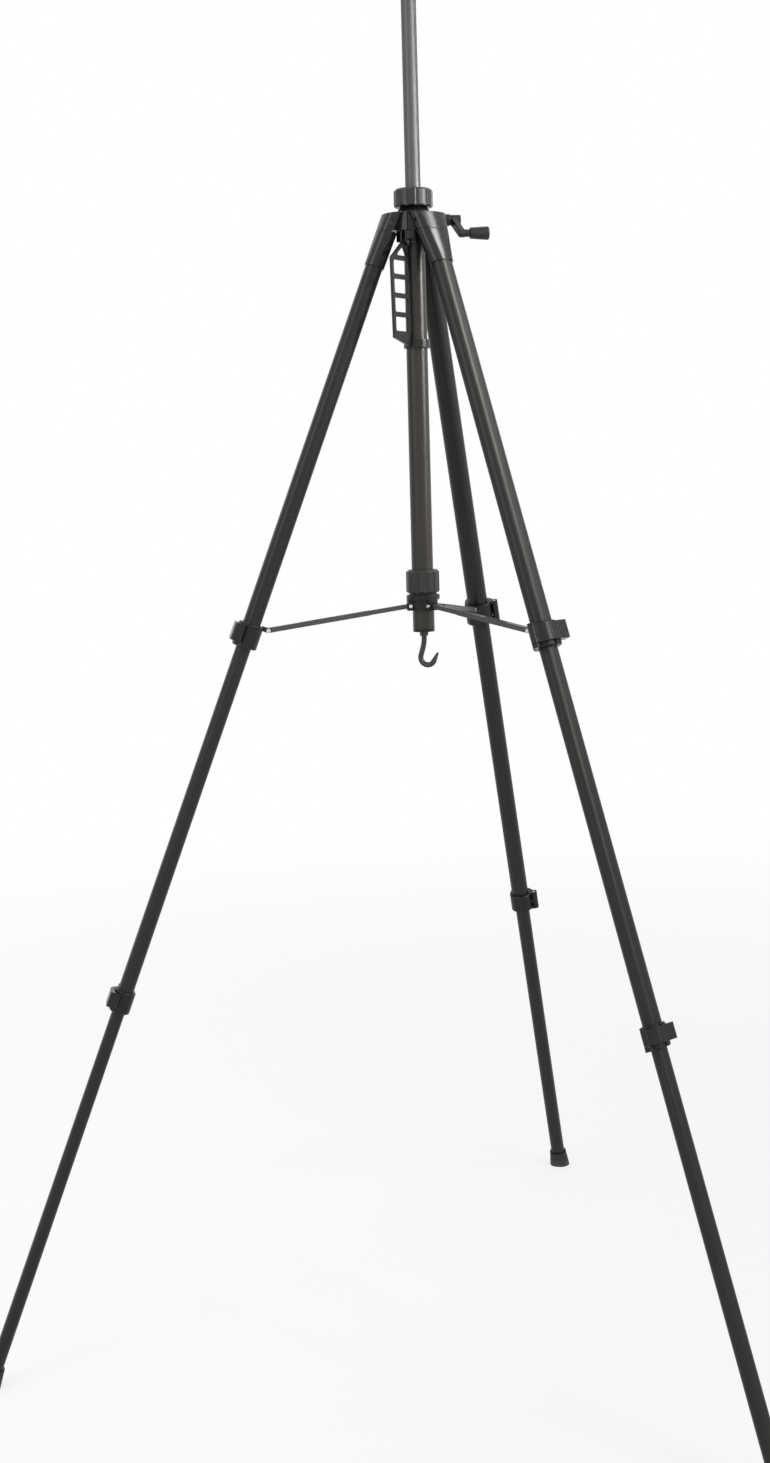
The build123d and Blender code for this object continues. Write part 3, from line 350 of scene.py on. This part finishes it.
for level, direction in ((stud_lo[2], -1), (stud_hi[2], 1)):
    cut = bmesh.ops.bisect_plane(build, geom=build.verts[:] + build.edges[:] + build.faces[:],
                                 dist=WELD / 20, plane_co=(0, 0, level), plane_no=(0, 0, direction),
                                 clear_outer=True)
    rim = [item for item in cut["geom_cut"] if isinstance(item, bmesh.types.BMEdge)]
    bmesh.ops.edgeloop_fill(build, edges=rim)
for vertex in build.verts:
    over = vertex.co.z - (stud_hi[2] - TIP_BEVEL)
    reach = math.hypot(vertex.co.x, vertex.co.y)
    if over > 0 and reach > THREAD_ROOT_R:
        vertex.co.xy *= max(THREAD_ROOT_R, min(reach, THREAD_R - over)) / reach
bmesh.ops.recalc_face_normals(build, faces=build.faces)
stud_mesh = bpy.data.meshes.new("stud_thread")
build.to_mesh(stud_mesh)
build.free()
stud_mesh.materials.append(zinc.material)
stud = bpy.data.objects.new("stud_thread", stud_mesh)
bpy.context.scene.collection.objects.link(stud)
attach(stud, "mast")
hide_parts("mount_stud")

# Lock collar: a grooved hand grip round the shoulder's neck, which tightens on the mast's bush. It
# is of the same greyer plastic as the hub's nut.
grip.wear("lock_collar")

# Crank: a plated pinion shaft runs in the shoulder's boss and turns the mast's rack. The black arm
# is pressed on its end and carries a flared grip on an axle.
CRANK_BLACK = (0.0105, 0.0095, 0.0083)
zinc.wear("drive_pinion")
moulded("crank_moulding", CRANK_BLACK, rough=0.36, ease=0.0009).wear("crank_arm", "crank_knob")

# Carrying handle: a flat ladder of black plastic that swings on a plated pin between the shoulder's
# cheeks; its lower end rests on a ring clipped round the column.
HANDLE_BLACK = (0.0105, 0.0096, 0.0084)
moulded("handle_moulding", HANDLE_BLACK, rough=0.34, ease=0.0008).wear("carry_handle", "handle_clip")
zinc.wear("handle_pin")

# Studio: a pale floor that fades into a white surround, two soft lamps in front and two narrow ones
# at the shoulder's side, and the camera where the picture was taken, with the stand turned a little.
PICTURE = (770, 1463)
CAMERA_F = 1819.18
CAMERA_CENTRE = (511.94, 335.0)
CAMERA_DISTANCE = 2.3414
CAMERA_HEIGHT = 1.0669
CAMERA_TURN = (3.006, -4.021, 1.636)
STAND_TURN = 20.2

yaw, pitch, roll = (math.radians(angle) for angle in CAMERA_TURN)
ahead = Vector((math.sin(yaw), math.cos(yaw), 0)) * math.cos(pitch) - Vector((0, 0, math.sin(pitch)))
level = Vector((math.cos(yaw), -math.sin(yaw), 0))
rise = Vector((math.sin(yaw), math.cos(yaw), 0)) * math.sin(pitch) + Vector((0, 0, math.cos(pitch)))
right = level * math.cos(roll) - rise * math.sin(roll)
above = level * math.sin(roll) + rise * math.cos(roll)
turn = Matrix.Rotation(math.radians(STAND_TURN), 4, "Z")
pose = Matrix((right, above, -ahead)).transposed().to_4x4()
pose.translation = Vector((0, -CAMERA_DISTANCE, FLOOR_Z + CAMERA_HEIGHT))

camera_data = bpy.data.cameras.new("camera")
camera_data.lens = CAMERA_F * camera_data.sensor_width / PICTURE[1]
camera_data.shift_x = (PICTURE[0] / 2 - CAMERA_CENTRE[0]) / PICTURE[1]
camera_data.shift_y = (CAMERA_CENTRE[1] - PICTURE[1] / 2) / PICTURE[1]
camera_data.clip_end = 60
camera = bpy.data.objects.new("camera", camera_data)
camera.matrix_world = turn @ pose
bpy.context.scene.collection.objects.link(camera)
bpy.context.scene.camera = camera


def seen(surface):
    """1 for the rays by which the eye, gloss and glass see a surface; light itself gets 0."""
    kinds = ("Is Camera Ray", "Is Glossy Ray", "Is Transmission Ray")
    by_eye, by_gloss, by_glass = (surface.node("LightPath", out=kind) for kind in kinds)
    return by_eye + by_gloss + by_glass


FLOOR_REACH = 20.0
FLOOR_PALE = (0.94, 0.94, 0.94, 1)
FADE_FROM = 1.2
FADE_TO = 3.5
FADE_LEAST = 0.6
WHITE = (1, 1, 1, 1)
floor_mesh = bpy.data.meshes.new("floor")
build = bmesh.new()
bmesh.ops.create_grid(build, x_segments=1, y_segments=1, size=FLOOR_REACH,
                      matrix=Matrix.Translation((0, 0, FLOOR_Z)))
build.to_mesh(floor_mesh)
build.free()
floor = bpy.data.objects.new("floor", floor_mesh)
bpy.context.scene.collection.objects.link(floor)
floor_skin = Finish("floor")
floor_skin.set(Base_Color=FLOOR_PALE, Roughness=0.9, Specular_IOR_Level=0.1)
away = floor_skin.node("VectorMath", {0: floor_skin.place}, out="Value", operation="LENGTH")
fade = floor_skin.node("MapRange", {"Value": away, "From Min": FADE_FROM, "From Max": FADE_TO,
                                    "To Min": FADE_LEAST})
white = floor_skin.node("Emission", {"Color": WHITE, "Strength": 1.0})
bare = Value(floor_skin.tree, floor_skin.shader.outputs[0])
mixed = floor_skin.node("MixShader", {0: seen(floor_skin) * fade, 1: bare, 2: white})
plug(floor_skin.tree, floor_skin.tree.nodes["Material Output"].inputs["Surface"], mixed)
floor_mesh.materials.append(floor_skin.material)

AMBIENT = 0.62
world = bpy.data.worlds.new("studio")
world.use_nodes = True
bpy.context.scene.world = world
surround = Nodes(world.node_tree)
sky = surround.tree.nodes["Background"]
sky.inputs["Color"].default_value = WHITE
plug(surround.tree, sky.inputs["Strength"], seen(surround) * (1 - AMBIENT) + AMBIENT)


def softbox(name, place, target, size, watts, spread=180):
    lamp = bpy.data.lights.new(name, "AREA")
    lamp.shape = "RECTANGLE"
    lamp.size, lamp.size_y = size
    lamp.energy = watts
    lamp.spread = math.radians(spread)
    obj = bpy.data.objects.new(name, lamp)
    aim = (Vector(target) - Vector(place)).to_track_quat("-Z", "Y")
    obj.matrix_world = turn @ Matrix.Translation(place) @ aim.to_matrix().to_4x4()
    bpy.context.scene.collection.objects.link(obj)


MIDDLE = (0, 0, FLOOR_Z + 0.9)
SHOULDER = (0, 0, FLOOR_Z + 1.38)
softbox("left_lamp", place=(-2.2, -2.0, 0.6), target=MIDDLE, size=(1.2, 2.0), watts=22)
softbox("right_lamp", place=(2.0, -1.9, 0.5), target=MIDDLE, size=(0.8, 1.6), watts=23)
softbox("high_lamp", place=(2.0, -0.95, 1.15), target=SHOULDER, size=(1.0, 0.4), watts=3.9, spread=45)
softbox("low_lamp", place=(2.3, -0.8, -0.1), target=SHOULDER, size=(0.8, 0.4), watts=1.9, spread=32)

bpy.context.scene.view_settings.view_transform = "Standard"
